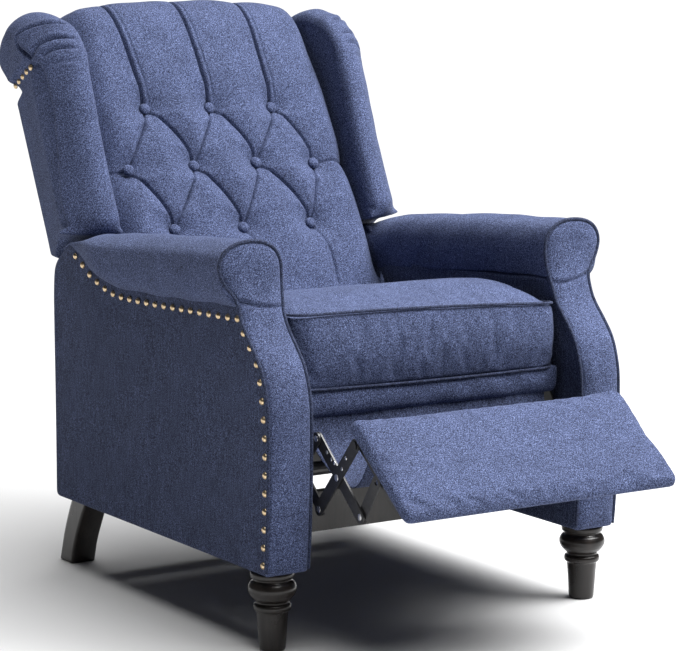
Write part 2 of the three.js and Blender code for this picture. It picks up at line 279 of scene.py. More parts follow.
def resample(line, count, closed=False):
    """The same line as evenly spaced points. A closed line doesn't repeat its first point."""
    line = np.asarray(line, float)
    if closed:
        line = np.vstack([line, line[:1]])
    travelled = length_so_far(line)
    stops = np.linspace(0, travelled[-1], count, endpoint=not closed)
    return np.stack([np.interp(stops, travelled, column) for column in line.T], 1)


def smooth(points, count, closed=False):
    """A Catmull-Rom curve through the points, as evenly spaced points."""
    points = np.asarray(points, float)
    if closed:
        framed = np.vstack([points[-1:], points, points[:2]])
    else:
        framed = np.vstack([2 * points[0] - points[1], points, 2 * points[-1] - points[-2]])
    t = np.linspace(0, 1, 20, endpoint=False)[:, None]
    spans = [0.5 * (2 * b + (c - a) * t + (2 * a - 5 * b + 4 * c - d) * t**2
                    + (3 * b - a - 3 * c + d) * t**3)
             for a, b, c, d in zip(framed, framed[1:], framed[2:], framed[3:])]
    if not closed:
        spans.append(points[-1:])
    return resample(np.vstack(spans), count, closed)


def soften(loop, width):
    """Rounds the corners of an evenly spaced closed loop over about this many of its points."""
    reach = np.arange(-3 * width, 3 * width + 1)
    weights = bell(reach, width)
    weights /= weights.sum()
    return sum(w * np.roll(loop, -int(k), axis=0) for k, w in zip(reach, weights))


def distance_to(line, points):
    """Distance from each point to the nearest place on a line, and that nearest place."""
    line = np.asarray(line, float)
    shape = points.shape[:-1]
    flat = points.reshape(-1, points.shape[-1])
    best = np.full(len(flat), 1e9)
    nearest = np.zeros_like(flat)
    for a, b in zip(line, line[1:]):
        span = b - a
        share = np.clip((flat - a) @ span / max(span @ span, 1e-12), 0, 1)
        there = a + share[:, None] * span
        gap = np.linalg.norm(flat - there, axis=1)
        closer = gap < best
        best[closer] = gap[closer]
        nearest[closer] = there[closer]
    return best.reshape(shape), nearest.reshape(points.shape)


def inside(loop, points):
    """Whether each point lies within a closed loop, by counting the sides it has to its right."""
    x, y = points[..., 0, None], points[..., 1, None]
    (x0, y0), (x1, y1) = np.asarray(loop, float).T, np.roll(loop, -1, axis=0).T
    crossing = (y0 > y) != (y1 > y)
    at_level = x0 + (y - y0) * (x1 - x0) / np.where(y1 == y0, 1e-9, y1 - y0)
    return (crossing & (x < at_level)).sum(-1) % 2 == 1


def ease(x, low, high):
    """0 below low, 1 above high, smooth between."""
    t = np.clip((np.asarray(x, float) - low) / (high - low), 0, 1)
    return t * t * (3 - 2 * t)


def bell(x, width):
    """1 at 0, falling away on both sides."""
    return np.exp(-(x / width) ** 2)


def crowned(inset, width, power=2):
    """0 at an outline, 1 from this far in, steepest at the outline."""
    return 1 - (1 - np.clip(inset / width, 0, 1)) ** power


def wobble(points, size, amount, seed):
    """Gentle uneven swelling, in the points' own units, from a few sine waves."""
    p = np.asarray(points, float) / size
    total = np.zeros(p.shape[:-1])
    for k, turn in enumerate((0.0, 1.3, 2.1, 2.9)):
        direction = np.array([math.cos(turn + seed), math.sin(turn * 1.7 + seed), math.cos(turn * 2.3)])
        total += np.sin((p @ direction[:p.shape[-1]]) * (1 + 0.37 * k) * 6.3 + seed * 3 + k)
    return total * amount / 2.5


# ---- meshes ----
def add_mesh(name, shape, material, body):
    """A smooth mesh object from (vertices in chair millimetres, faces), its faces turned outwards."""
    vertices, faces = shape
    mesh = bpy.data.meshes.new(name)
    mesh.from_pydata(at(vertices).tolist(), [], faces)
    tool = bmesh.new()
    tool.from_mesh(mesh)
    bmesh.ops.remove_doubles(tool, verts=tool.verts, dist=1e-6)
    bmesh.ops.recalc_face_normals(tool, faces=tool.faces)
    tool.to_mesh(mesh)
    tool.free()
    mesh.shade_smooth()
    mesh.materials.append(material)
    piece = new_object(name, mesh)
    if body:
        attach(piece, body)
    return piece


def ring_faces(rings, around, closed=True, first=0):
    """Quads between neighbouring rings of points."""
    faces = []
    last = around if closed else around - 1
    for r in range(rings - 1):
        for k in range(last):
            a = first + r * around + k
            b = first + r * around + (k + 1) % around
            faces.append((a, b, b + around, a + around))
    return faces


def loft(rings, capped=True):
    """Vertices and faces of a skin over closed rings, given as an array of (rings, around, 3)."""
    count, around, _ = rings.shape
    faces = ring_faces(count, around)
    if capped:
        faces.append(tuple(range(around)))
        faces.append(tuple(range((count - 1) * around, count * around)))
    return rings.reshape(-1, 3), faces


class Pillow:
    """A stuffed shape: an outline in (u, v), a rim that goes round it, and two faces in to a spine.

    rim lists (inset, w) from the low face to the high one: how far in from the outline it runs, times
    tightness, and at what height. Each face has this many steps from the rim to the spine.
    rings holds (u, v, w); inset is each point's distance in from the outline, and face is -1 on
    the low face, 0 on the rim and 1 on the high face.
    """

    def __init__(self, outline, spine, rim, steps, tightness=1.0):
        inward = distance_to(spine, outline)[1] - outline
        reach = np.linalg.norm(inward, axis=1, keepdims=True)
        inward /= reach
        shares = 1 - np.linspace(0, 0.95, steps + 1)[1:]
        levels = [(rim[0], share, -1) for share in shares[::-1]]
        levels += [(point, 1, 0) for point in rim]
        levels += [(rim[-1], share, 1) for share in shares]
        rings = []
        for (inset, w), share, _ in levels:
            start = inset * tightness
            flat = outline + inward * (start + (reach - start) * (1 - share))
            rings.append(np.column_stack([flat, np.full(len(flat), w)]))
        self.rings = np.array(rings)
        self.face = np.array([face for *_, face in levels])[:, None] * np.ones(len(outline))
        self.inset = np.linalg.norm(self.rings[..., :2] - outline, axis=2)

    def mesh(self, to_chair):
        """Vertices and faces. to_chair turns (u, v, w) into chair millimetres.

        The narrow gap left along the spine is closed with triangles between the last ring's own points.
        """
        vertices, faces = loft(self.rings, capped=False)
        around = self.rings.shape[1]
        for first in (0, len(vertices) - around):
            flat = [Vector(point[:2]) for point in vertices[first:first + around]]
            edges = [(k, (k + 1) % around) for k in range(around)]
            made = delaunay_2d_cdt(flat, edges, [], 1, 1e-6)
            ring = np.array(flat)
            owner = [origin[0] if origin else int(np.argmin(((ring - spot) ** 2).sum(1)))
                     for spot, origin in zip(np.array(made[0]), made[3])]
            triangles = [tuple(first + owner[corner] for corner in face) for face in made[2]]
            faces += [triangle for triangle in triangles if len(set(triangle)) == 3]
        return to_chair(vertices), faces


def mirrored(points, side):
    points = np.array(points, float)
    points[..., 0] *= side
    return points


def tube(path, radius, closed=False):
    """Vertices and faces of a round cord along a path of millimetre points."""
    sides = 10
    ahead = np.roll(path, -1, axis=0) - np.roll(path, 1, axis=0)
    if not closed:
        ahead[0], ahead[-1] = path[1] - path[0], path[-1] - path[-2]
    ahead = unit(ahead)
    side = np.cross(ahead[0], (0.3, 0.2, 0.93))
    angles = np.linspace(0, 2 * math.pi, sides, endpoint=False)[:, None]
    rings = []
    for point, direction in zip(path, ahead):
        side = unit(side - direction * (side @ direction))
        up = np.cross(direction, side)
        rings.append(point + radius * (np.cos(angles) * side + np.sin(angles) * up))
    rings = np.array(rings)
    if closed:
        faces = ring_faces(len(rings), sides)
        last = (len(rings) - 1) * sides
        faces += [(last + k, last + (k + 1) % sides, (k + 1) % sides, k) for k in range(sides)]
        return rings.reshape(-1, 3), faces
    return loft(rings)


def lathe(profile, sides):
    """Vertices and faces of a turned shape from (radius, height) pairs, both ends on the axis."""
    angles = np.linspace(0, 2 * math.pi, sides, endpoint=False)
    return loft(np.array([[(r * math.cos(a), r * math.sin(a), h) for a in angles] for r, h in profile]))


def turned_to(points, direction):
    """Turns points so that their +Z looks along a direction."""
    turn = np.array(Vector((0, 0, 1)).rotation_difference(Vector(direction)).to_matrix())
    return points @ turn.T


def scattered(shape, places):
    """A shape repeated at places, each a (point, direction that its +Z looks along)."""
    points, polygons = shape
    vertices = np.vstack([turned_to(points, direction) + point for point, direction in places])
    faces = [tuple(index + copy * len(points) for index in polygon)
             for copy in range(len(places)) for polygon in polygons]
    return vertices, faces


def quarter_turn(radius, steps):
    """A rounded edge as (inset from one face, inset from the next), from the first face to the next."""
    return [(radius * (1 - math.cos(a)), radius * (1 - math.sin(a)))
            for a in np.radians(np.linspace(0, 90, steps))]


def sideways(side=1):
    """Turns a shape drawn in side view, (y, z, x), into chair millimetres on one side of the chair."""
    return lambda p: mirrored(p[:, [2, 0, 1]], side)


# ---- cloth ----
CLOTH_FRAMES = 20


def coordinates(mesh):
    return np.array([v.co for v in mesh.vertices])


def apply_modifiers(piece):
    graph = bpy.context.evaluated_depsgraph_get()
    piece.data = bpy.data.meshes.new_from_object(piece.evaluated_get(graph))
    piece.modifiers.clear()


def inflate(piece, seams, cap, shrink, pressure=4.0, voxel=0.006):
    """Lets the cover swell under pressure like stuffed cloth, held at its seams, by cap at most.

    The cover gets an even mesh before and a subdivision after.
    """
    remesh = piece.modifiers.new("even mesh", "REMESH")
    remesh.mode = "VOXEL"
    remesh.voxel_size = voxel
    apply_modifiers(piece)
    simulate(piece, seams, cap, shrink, pressure)
    rounds = piece.modifiers.new("rounding", "SUBSURF")
    rounds.levels = rounds.render_levels = 1
    apply_modifiers(piece)
    piece.data.shade_smooth()


def simulate(piece, seams, cap, shrink, pressure):
    start = coordinates(piece.data)
    gap = np.min([distance_to(line, start)[0] for line in seams], axis=0)
    held = piece.vertex_groups.new(name="seams")
    for index, weight in enumerate(1 - ease(gap, 0.004, 0.012)):
        if weight > 0:
            held.add([index], float(weight), "REPLACE")
    cloth = piece.modifiers.new("cloth", "CLOTH")
    settings = cloth.settings
    settings.use_pressure = True
    settings.uniform_pressure_force = pressure
    settings.effector_weights.gravity = 0
    settings.vertex_group_mass = "seams"
    settings.tension_stiffness = 18
    settings.compression_stiffness = 12
    settings.bending_stiffness = 1.5
    settings.shrink_min = shrink
    settings.quality = 5
    cloth.point_cache.frame_end = CLOTH_FRAMES
    for step in range(1, CLOTH_FRAMES + 1):
        bpy.context.scene.frame_set(step)
    settled = piece.evaluated_get(bpy.context.evaluated_depsgraph_get())
    moved = coordinates(settled.to_mesh()) - start
    settled.to_mesh_clear()
    piece.modifiers.clear()
    piece.vertex_groups.clear()
    length = np.linalg.norm(moved, axis=1, keepdims=True)
    moved *= np.minimum(1, cap / np.maximum(length, 1e-9))
    piece.data.vertices.foreach_set("co", (start + moved).ravel())
    bpy.context.scene.frame_set(1)


def press_seams(piece, seams, depth, width):
    """Draws the cover in along its seams."""
    mesh = piece.data
    points = coordinates(mesh)
    normals = np.array([v.normal for v in mesh.vertices])
    gap = np.min([distance_to(line, points)[0] for line in seams], axis=0)
    points -= normals * (depth * bell(gap, width))[:, None]
    mesh.vertices.foreach_set("co", points.ravel())
    mesh.update()


# ---- arms ----
ARM_INNER, ARM_OUTER = 256, 330
ARM_BOTTOM, ARM_BACK = 123, 714
ARM_FRONT = smooth([(0, 123), (-5, 180), (-9, 260), (-10, 353), (-6, 394), (8, 433), (30, 461),
                    (48, 480), (62, 498), (74, 526), (82, 556), (84, 588), (82, 625)], 200)
FACING_EDGE = 8  # how far the facing's edge and its piping lie behind its crown
PIPING = 2.9  # radius of the cord on the arms
THIN_PIPING = 2.4  # radius of the cord on the seat and on the rear panel
PIPING_PROUD = 0.6  # how far the middle of a cord lies outside the outline it edges


def arm_front(z):
    """Where the crown of the arm's front lies at a height."""
    return np.interp(z, ARM_FRONT[:, 1], ARM_FRONT[:, 0])


CREASE = smooth([(-20, 525), (96, 524), (216, 518), (335, 513), (422, 510), (490, 512), (540, 523),
                 (594, 545), (628, 559), (652, 566), (668, 568)], 200)


def crease_height(y):
    """Height of the tuck under the roll on the arm's outer side."""
    return np.interp(y, CREASE[:, 0], CREASE[:, 1])


FACING_OUTLINE = soften(resample(np.vstack([
    [(ARM_INNER, ARM_BOTTOM), (ARM_OUTER, ARM_BOTTOM), (ARM_OUTER, 486), (ARM_OUTER + 0.5, 508)],
    smooth([(331, 525), (336, 540), (348, 554), (357, 573), (358, 591), (348, 608), (329, 618),
            (304, 621), (282, 618), (264, 608), (253, 591), (251, 572), (252, 548), (256, 515)], 90),
]), 420, closed=True), 2)
FACING_SPINE = [(293, 160), (293, 520), (303, 572)]


def arm_facing(label, side):
    """The padded front of the arm, with the tuck across it under the roll."""
    rim = [(3.5, 19), (0.8, 18), (0, 16), (0, 11), (0.9, 9), (2.4, 7.6)]
    shape = Pillow(FACING_OUTLINE, FACING_SPINE, rim, steps=22)
    rings, front = shape.rings, shape.face > 0
    swell = FACING_EDGE * crowned(shape.inset, 30, 2.3)
    rings[..., 2] = np.where(front, FACING_EDGE - swell, rings[..., 2])
    across = (rings[..., 0] - ARM_INNER) / 70
    above_tuck = rings[..., 1] - (520 + 11 * across - 3 * np.sin(math.pi * np.clip(across, 0, 1)))
    fade = 0.5 + 0.5 * np.clip(across, 0, 1)
    fold = 4.6 * bell(above_tuck, 2.6) - 1.8 * bell(above_tuck - 9, 5)
    rings[..., 2] += np.where(front, fade * fold, 0)
    rings[..., 2] += np.where(front, wobble(rings[..., :2], 160, 0.6, 1.0), 0)

    def to_chair(p):
        return mirrored(np.stack([p[:, 0], arm_front(p[:, 1]) + p[:, 2], p[:, 1]], 1), side)

    piece = add_mesh(f"arm_facing_{label}_cover", shape.mesh(to_chair), CLOTH, "base")
    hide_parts(f"arm_facing_{label}")


def arm_side(label, side):
    """The boxed part of the arm: flat covered panels with softly rounded edges."""
    behind = FACING_EDGE + 1
    front = [(y + behind, z) for y, z in ARM_FRONT if z < 527]
    tucked = [(y, z + 5) for y, z in CREASE if 104 < y < 648]
    corner = smooth([(681, 548), (697, 536), (708, 520), (ARM_BACK - 1, 480), (ARM_BACK, 420)], 20)
    outline = np.vstack([front, tucked, corner, [(ARM_BACK, ARM_BOTTOM)]])
    outline = soften(resample(outline, 520, closed=True), 2)
    turn = quarter_turn(6, 5)
    rim = [(b, ARM_INNER + a) for a, b in turn] + [(a, ARM_OUTER - b) for a, b in turn]
    shape = Pillow(outline, [(190, 320), (520, 320)], rim, steps=24)
    rings = shape.rings
    flatter = 1.6 * crowned(shape.inset, 70) - 1.6
    rings[..., 2] += shape.face * (flatter + wobble(rings[..., :2], 240, 0.7, side))
    # the arm's side takes the darker copy of the cloth: painted shade
    piece = add_mesh(f"arm_side_{label}", shape.mesh(sideways(side)), SHADE_DARKENED_CLOTH, "base")
    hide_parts(f"arm_body_{label}")


ROLL_START, ROLL_END = 84, 668
ROLL_TOP = [(84, 622), (250, 615), (376, 606), (513, 595), (560, 590), (600, 582), (636, 573), (668, 560)]
TAIL_RADIUS = 9  # of the roll's rounded rear end


def roll_section(y):
    """The roll's section at a depth, from the tuck outside, over the top, and down the inner side."""
    top = float(np.interp(y, *np.transpose(ROLL_TOP)))
    tuck = min(float(crease_height(y)), top - 4)
    hang = 27 * (1 - float(ease(y, 500, 664)))
    outside = [(ARM_OUTER + share * hang, tuck + height * (top - tuck))
               for share, height in ((0.10, 0.03), (0.62, 0.17), (0.97, 0.42), (1.0, 0.62), (0.80, 0.80))]
    over = [(325, top - 3 - 3 * float(ease(y, 520, 664))), (304, top), (282, top - 3), (265, top - 12),
            (254, top - 29), (251.5, top - 48), (253, top - 70), (256, top - 92)]
    return smooth([(ARM_OUTER - 4, tuck - 2), *outside, *over], 84)


def arm_roll(label, side):
    """The stuffed roll on top of the arm, which thins out towards the back."""
    stations = [(share, 0.0) for share in np.linspace(0, 1, 90)]
    stations += [(1.0, turn) for turn in np.radians(np.linspace(0, 90, 6))[1:]]
    rings = []
    for share, turn in stations:
        y = ROLL_START + (ROLL_END - ROLL_START) * share
        section = roll_section(y)
        section = np.vstack([section, [(275, section[-1, 1] - 2), (310, section[0, 1] - 6)]])
        ahead = (1 - ease(share, 0, 0.22)) * (arm_front(section[:, 1]) + FACING_EDGE + 1 - ROLL_START)
        depth = y + ahead + TAIL_RADIUS * math.sin(turn)
        middle = section.mean(0)
        section = middle + (section - middle) * (1 - 0.16 * (1 - math.cos(turn)))
        uneven = wobble(np.column_stack([depth, section]), 190, 1.1, 2.0 + side)
        outward = unit(section - section.mean(0))
        section = section + outward * (uneven * (1 - ease(share, 0.85, 1)))[:, None]
        rings.append(np.column_stack([section[:, 0], depth, section[:, 1]]))
    shape = loft(mirrored(rings, side))
    piece = add_mesh(f"arm_roll_{label}_cover", shape, CLOTH, "base")
    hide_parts(f"arm_roll_{label}")


def arm_piping(label, side):
    """The covered cord round the front of the arm, from the outer foot over the roll to the inner one."""
    outward = unit(FACING_OUTLINE - distance_to(FACING_SPINE, FACING_OUTLINE)[1])
    edge = FACING_OUTLINE + outward * PIPING_PROUD
    foot = ARM_BOTTOM + 3
    outer_foot = np.abs(edge[:, 0] - (ARM_OUTER + PIPING_PROUD)) + np.abs(edge[:, 1] - foot)
    edge = np.roll(edge, -np.argmin(outer_foot), axis=0)
    edge = edge[edge[:, 1] > foot]
    path = np.stack([edge[:, 0], arm_front(edge[:, 1]) + FACING_EDGE + 0.5, edge[:, 1]], 1)
    cord = tube(resample(mirrored(path, side), 330), PIPING)
    # the cord is darkened: painted shade along the piping
    add_mesh(f"arm_piping_{label}", cord, SHADE_DARKENED_CORD, "base")


# ---- nail heads ----
NAIL_DOME = [(0.01, 3.7), (2.1, 3.5), (3.9, 2.7), (5.1, 1.5), (5.7, 0.3)]
NAIL_UNDERSIDE = [(5.7, -0.8), (0.01, -0.8)]


def nails(name, places, body):
    """Domed brass nail heads at (point, direction) pairs."""
    dome = lathe(np.vstack([smooth(NAIL_DOME, 12), NAIL_UNDERSIDE]), 20)
    add_mesh(name, scattered(dome, places), BRASS, body)


NAIL_ROW = [(88, 506), (137, 504), (216, 502), (316, 499), (404, 497), (460, 497), (490, 499), (512, 503),
            (538, 510), (571, 521), (594, 533), (625, 548)]
NAIL_COLUMN = [(68, 486), (52, 470), (33, 446), (23, 418), (17, 390), (10, 336), (9, 280), (11, 218),
               (16, 140)]


def arm_nails(label, side):
    """A row under the tuck of the roll and a column down behind the front edge."""
    row = smooth(NAIL_ROW, 20)
    column = smooth(NAIL_COLUMN, 14)
    column[:, 0] = np.maximum(column[:, 0], arm_front(column[:, 1]) + FACING_EDGE + 9)
    places = [((side * ARM_OUTER, y, z), (side, 0, 0)) for y, z in np.vstack([row, column])]
    nails(f"arm_nails_{label}", places, "base")


# ---- legs ----
FRONT_LEG = [(0.01, 0), (17, 0), (19.6, 1.2), (20.5, 4), (21.6, 20), (23.2, 44), (24.3, 57), (24.6, 60),
             (25.4, 61.5), (28, 63), (29, 66), (29, 69), (28, 72), (25.4, 73.6), (24.8, 75), (25.2, 77),
             (30, 81), (34.5, 86.5), (37, 92), (37.5, 96), (37, 100), (34.5, 105), (30.4, 109),
             (29.6, 111), (30.4, 112.4), (33, 113.4), (34, 115.5), (34, 120), (33.2, 122), (31, 122.6),
             (0.01, 122.6)]


def front_leg(label, side):
    low, high = in_mm(f"leg_front_{label}")
    centre = (low + high) / 2
    turned = scattered(lathe(resample(FRONT_LEG, 130), 64), [((centre[0], centre[1], 0), (0, 0, 1))])
    piece = add_mesh(f"leg_front_{label}_turned", turned, BLACK_WOOD, "base")
    piece.data.set_sharp_from_angle(angle=math.radians(50))
    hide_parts(f"leg_front_{label}")


def rear_leg(label, side):
    """A raked sabre leg with eased edges."""
    outline = np.vstack([
        [(706, 0), (752, 0)],
        smooth([(752, 2), (736, 50), (718, 90), (700, 122.6)], 30),
        smooth([(646, 122.6), (672, 80), (693, 40), (706, 2)], 30),
    ])
    outline = soften(resample(outline, 160, closed=True), 1.5)
    low, high = in_mm(f"leg_rear_{label}")
    inner, outer = sorted((abs(low[0]), abs(high[0])))
    rim = [(4, inner), (1.3, inner + 1), (0, inner + 4), (0, outer - 4), (1.3, outer - 1), (4, outer)]
    shape = Pillow(outline, [(675, 105), (722, 18)], rim, steps=6)
    shape.rings[..., 1] = np.clip(shape.rings[..., 1], 0, None)
    raked = shape.mesh(sideways(side))
    piece = add_mesh(f"leg_rear_{label}_raked", raked, BLACK_WOOD, "base")
    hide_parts(f"leg_rear_{label}")


for label, side in SIDES.items():
    arm_side(label, side)
    arm_roll(label, side)
    arm_facing(label, side)
    arm_piping(label, side)
    arm_nails(label, side)
    front_leg(label, side)
    rear_leg(label, side)


# ---- seat ----
SEAT_HALF, SEAT_FRONT, SEAT_REAR = 247, 50, 560
SEAT_LOW_SEAM, SEAT_HIGH_SEAM = 389, 492
SEAT_CORNER = 30
SEAT_CROWN = [(50, 495), (100, 507), (150, 516), (200, 517), (250, 511), (300, 502), (400, 484),
              (500, 469), (548, 462), (570, 460)]  # depth, and the top panel's height there


def rounded_rectangle(half, low, high, radius, count):
    """An outline from -half to half across and from low to high."""
    centres = [(half - radius, low + radius, -90), (half - radius, high - radius, 0),
               (radius - half, high - radius, 90), (radius - half, low + radius, 180)]
    points = []
    for x, y, first in centres:
        for a in np.radians(np.linspace(first, first + 90, 10)):
            points.append((x + radius * math.cos(a), y + radius * math.sin(a)))
    return resample(points, count, closed=True)


def seam_height(base, x, y):
    """The seams bow at the front, the low one down and the high one up. The left side is fuller."""
    bow = (1 - (x / SEAT_HALF) ** 2) * (1 - ease(y, 60, 300))
    leftness = 1 - x / SEAT_HALF
    if base == SEAT_LOW_SEAM:
        return base - 3.0 * bow + 2.0 * leftness
    return base + 4.0 * bow + 8.0 * leftness * (1 - ease(y, 250, 520)) - 0.055 * (y - SEAT_FRONT)


def seat_top(x, y):
    """Height of the crowned top panel away from the seam."""
    return np.interp(y, *np.transpose(SEAT_CROWN)) - 12 * np.abs(x / SEAT_HALF) ** 6


def seat_cushion():
    plan = rounded_rectangle(SEAT_HALF, SEAT_FRONT, SEAT_REAR, SEAT_CORNER, 460)
    rim = [(3, SEAT_LOW_SEAM - 3), (0, SEAT_LOW_SEAM), (-2.5, 408), (-4, 428), (-4.5, 442), (-4, 456),
           (-2.5, 474), (0, SEAT_HIGH_SEAM)]
    shape = Pillow(plan, [(-150, 300), (150, 300)], rim, steps=30)
    rings, face = shape.rings, shape.face
    x, y, z = rings[..., 0], rings[..., 1], rings[..., 2]
    share = np.clip((z - SEAT_LOW_SEAM) / (SEAT_HIGH_SEAM - SEAT_LOW_SEAM), 0, 1)
    high = seam_height(SEAT_HIGH_SEAM, x, y)
    side_wall = SEAT_LOW_SEAM + share * (high - SEAT_LOW_SEAM)
    swell = crowned(shape.inset, 70, 2.6)
    top = high + (seat_top(x, y) - high) * swell + wobble(rings[..., :2], 260, 0.9, 0.4) * swell
    rings[..., 2] = np.where(face > 0, top, np.where(face < 0, SEAT_LOW_SEAM - 3, side_wall))
    piece = add_mesh("seat_cushion_cover", shape.mesh(lambda p: p), CLOTH, None)

    seams = [np.column_stack([plan, seam_height(base, *plan.T)])
             for base in (SEAT_LOW_SEAM, SEAT_HIGH_SEAM)]
    coarse = [at(np.vstack([line, line[:1]]))[::6] for line in seams]
    inflate(piece, coarse, cap=0.007, shrink=-0.015)
    press_seams(piece, coarse, 0.0022, 0.0045)
    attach(piece, "seat")
    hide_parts("seat_cushion")
    for name, line in zip(("low", "high"), seams):
        outward = unit((line - (0, 300, 0)) * (1, 1, 0))
        cord = tube(line + outward * PIPING_PROUD, THIN_PIPING, closed=True)
        # the cord is darkened: painted shade along the piping
        add_mesh(f"seat_piping_{name}", cord, SHADE_DARKENED_CORD, "seat")


def seat_apron():
    """The soft band of cloth under the front of the cushion, turned under along its lower edge."""
    outline = smooth([(60, 389), (53, 389), (50, 380), (49.5, 366), (52, 354), (58, 348),
                      (64, 350), (64, 358), (61, 374)], 90, closed=True)
    half, corner = SEAT_HALF - 0.5, 8
    rim = [(2.5, -half), (0.6, -half + 1.5), (0, -half + 5)]
    rim += [(0, x) for x in np.linspace(-half + 8, half - 8, 90)]
    rim += [(0, half - 5), (0.6, half - 1.5), (2.5, half)]
    shape = Pillow(outline, [(57, 352), (57, 380)], rim, steps=3)
    rings = shape.rings
    puff = wobble(np.stack([rings[..., 2], rings[..., 1] * 1.6], -1), 150, 0.9, 0.7)
    rings[..., 0] -= puff * (rings[..., 0] < 57)
    past = np.clip((np.abs(rings[..., 2]) - (half - corner)) / corner, 0, 1)
    lifted = corner * (1 - np.sqrt(1 - past**2))
    rings[..., 1] += lifted * np.clip((388 - rings[..., 1]) / 42, 0, 1)
    piece = add_mesh("seat_apron_cover", shape.mesh(sideways()), CLOTH, "seat")
    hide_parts("seat_apron")


seat_cushion()
seat_apron()


# ---- back ----
BACK_HALF = 249
BACK_LEAN = 0.448  # how far the rear cover goes back for each millimetre it rises
FRONT_RISE = 1.78  # how far the front of the cushion rises for each millimetre it goes back
BACK_FRONT = smooth([(526, 457), (549, 507), (572, 556), (598, 604), (651, 692), (706, 789), (752, 870),
                     (788, 926), (818, 956), (850, 967), (888, 956), (912, 930), (911, 902)], 330)
BACK_ALONG = length_so_far(BACK_FRONT)
BACK_RISING = BACK_FRONT[:np.argmax(BACK_FRONT[:, 1]) + 1]
BACK_SPINE = [(600, 500), (640, 560), (750, 760), (835, 890)]
BUTTONS = [(-140, 794), (-12, 792), (114, 789), (-203, 694), (-75, 696), (51, 697), (168, 691),
           (-147, 594), (-13, 591), (125, 591)]
BUTTON_SINK = 26


def rear_face(z):
    """Where the rear cover's outer face lies at a height."""
    return 763 + BACK_LEAN * (z - 526)


def along_back(z):
    """Distance along the front of the back, from its foot, to a height on it."""
    return np.interp(z, BACK_RISING[:, 1], BACK_ALONG[:len(BACK_RISING)])


PLEAT_ROUTES = {  # share of the way across at three places on the way down
    "firm": (0.40, 0.76, 0.94),
    "faint": (0.17, 0.49, 0.80),
}


def pleat_lines():
    """The buttons and the folds in (across, along). Firm folds fall to the right, faint ones to the left."""
    spots = [np.array([x, float(along_back(z))]) for x, z in BUTTONS]
    top, middle, low = spots[:3], spots[3:7], spots[7:]
    lines = []
    for k in range(3):
        for a, b, kind in ((top[k], middle[k + 1], "firm"), (middle[k], low[k], "firm"),
                           (top[k], middle[k], "faint"), (middle[k + 1], low[k], "faint")):
            across, down = b - a
            route = [a + (across * share, down * fall)
                     for share, fall in zip(PLEAT_ROUTES[kind], (0.25, 0.55, 0.82))]
            lines.append((kind, smooth([a, *route, b], 40)))
    for spot in top:
        lines.append(("crown", np.array([spot, spot + (0.1 * spot[0] - 22, 420)])))
    for spot in low:
        lines.append(("foot", smooth([spot, spot + (10, -30), spot + (16, -70), spot + (16, -130)], 30)))
    for spot, side in ((middle[0], -1), (middle[3], 1)):
        lines.append(("faint", np.array([spot, spot + (side * 80, 4)])))
    return spots, lines


PLEAT_SHAPES = {  # (broad depth, broad width, groove depth, groove width), in millimetres
    "firm": (16.0, 23, 6.5, 1.9),
    "faint": (13.0, 21, 6.4, 1.4),
    "crown": (10.0, 24, 11.0, 2.5),
    "foot": (5.0, 18, 3.2, 1.6),
}


def tuft_depth(across, along):
    """How far the buttons and the pleats draw the cover in at each place."""
    spots, lines = pleat_lines()
    places = np.stack([across, along], -1)
    depth = np.zeros(across.shape)
    grooves = np.zeros(across.shape)
    for kind, line in lines:
        broad, wide, groove, narrow = PLEAT_SHAPES[kind]
        gap, nearest = distance_to(line[::3] if len(line) > 12 else line, places)
        if kind == "crown":
            broad = broad * (1 - 0.72 * ease(along - line[0, 1], 40, 170))
        depth = np.maximum(depth, broad * np.exp(-gap / wide))
        grooves = np.maximum(grooves, groove * bell(gap, narrow))
        if kind == "crown":  # a raised welt beside the channel, and a shallow groove beyond it
            lip = across - nearest[..., 0]
            past = ease(along - line[0, 1], 2, 26)
            grooves -= 4.0 * bell(lip - 5.6, 2.4) * (gap < 20) * past
            grooves += 2.6 * bell(lip - 10, 1.6) * (gap < 20) * past
    for spot in spots:
        reach = np.linalg.norm(places - spot, axis=-1)
        depth = np.maximum(depth, (BUTTON_SINK + 4) * np.exp(-(reach / 32) ** 1.15))
    return depth + grooves


def across_back():
    """Places across the cushion and how far its outline draws in there, for its rounded sides."""
    radius = 44
    right = [(BACK_HALF - b, a) for a, b in quarter_turn(radius, 13)[1:]]
    middle = [(x, 0.0) for x in np.linspace(radius - BACK_HALF, BACK_HALF - radius, 250)]
    left = [(-x, inset) for x, inset in right[::-1]]
    return np.array(left + middle + right)[:, :, None]


def back_cushion():
    """The tufted cushion: its side outline carried across, and its front drawn in by the tufting."""
    count = len(BACK_FRONT)
    gap = 47  # from the cushion's rear to the outer face of the rear cover
    rear = resample([(rear_face(892) - gap, 892), (rear_face(440) - gap, 440), (676, 420), (604, 420),
                     (596, 456), (562, 455), (534, 451)], 76)
    loop = np.vstack([BACK_FRONT, rear])
    normals = square_to(np.roll(loop, -1, axis=0) - np.roll(loop, 1, axis=0))
    inward = unit(distance_to(BACK_SPINE, loop)[1] - loop)
    stations = across_back()
    across = stations[:, 0] * np.ones(count)
    along = np.ones(across.shape) * BACK_ALONG
    shoulder = np.abs(across / BACK_HALF) ** 3 * (9 + 14 * ease(along, 380, 520))
    rounding = 14 * ease(np.abs(across), 190, BACK_HALF) ** 1.5
    fade = 1 - ease(np.arange(count), count - 40, count - 4)
    sunk = (tuft_depth(across, along) + shoulder + rounding) * fade
    sunk -= wobble(np.stack([across, along], -1), 170, 1.0, 0.8)
    sunk = np.hstack([sunk, np.zeros((len(sunk), len(rear)))])
    outline = loop + inward * (stations[:, 1:] * 0.8) - normals * sunk[..., None]
    rings = np.concatenate([stations[:, :1] * np.ones((1, len(loop), 1)), outline], axis=-1)
    piece = add_mesh("back_cushion_cover", loft(rings), CLOTH, "back")
    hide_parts("back_cushion")


